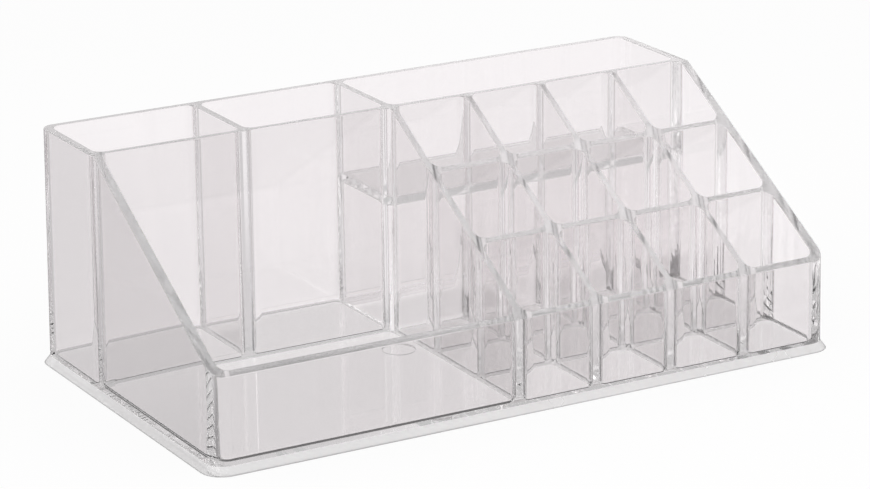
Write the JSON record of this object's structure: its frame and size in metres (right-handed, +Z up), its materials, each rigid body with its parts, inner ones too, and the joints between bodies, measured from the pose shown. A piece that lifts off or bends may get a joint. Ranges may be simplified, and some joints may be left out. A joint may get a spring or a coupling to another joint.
{
  "type": "vanity organizer",
  "caption": "Clear plastic vanity organizer with a sloped front, tall rear compartments, a raised shelf, an open tray and a grid of lipstick cells.",
  "frame": {"origin": "middle of the footprint, on the table", "axes": "+Z up, +X to the viewer's right, -Y towards the viewer, so the low sloped front faces -Y"},
  "size_m": [0.226, 0.1272, 0.0788],
  "materials": {
    "clear_plastic": "clear, polished moulded polystyrene, water white, IOR about 1.59"
  },
  "bodies": {
    "root": {"base_plate": "clear_plastic", "left_end_wall": "clear_plastic", "right_end_wall": "clear_plastic", "front_wall": "clear_plastic", "rear_wall": "clear_plastic", "long_partition": "clear_plastic", "rear_divider_left": "clear_plastic", "rear_divider_right": "clear_plastic", "raised_shelf": "clear_plastic", "lipstick_side_wall": "clear_plastic", "lipstick_divider_1": "clear_plastic", "lipstick_divider_2": "clear_plastic", "lipstick_divider_3": "clear_plastic", "row_wall_1_1": "clear_plastic", "row_wall_2_1": "clear_plastic", "row_wall_1_2": "clear_plastic", "row_wall_2_2": "clear_plastic", "row_wall_1_3": "clear_plastic", "row_wall_2_3": "clear_plastic", "row_wall_1_4": "clear_plastic", "row_wall_2_4": "clear_plastic"}
  },
  "joints": []
}
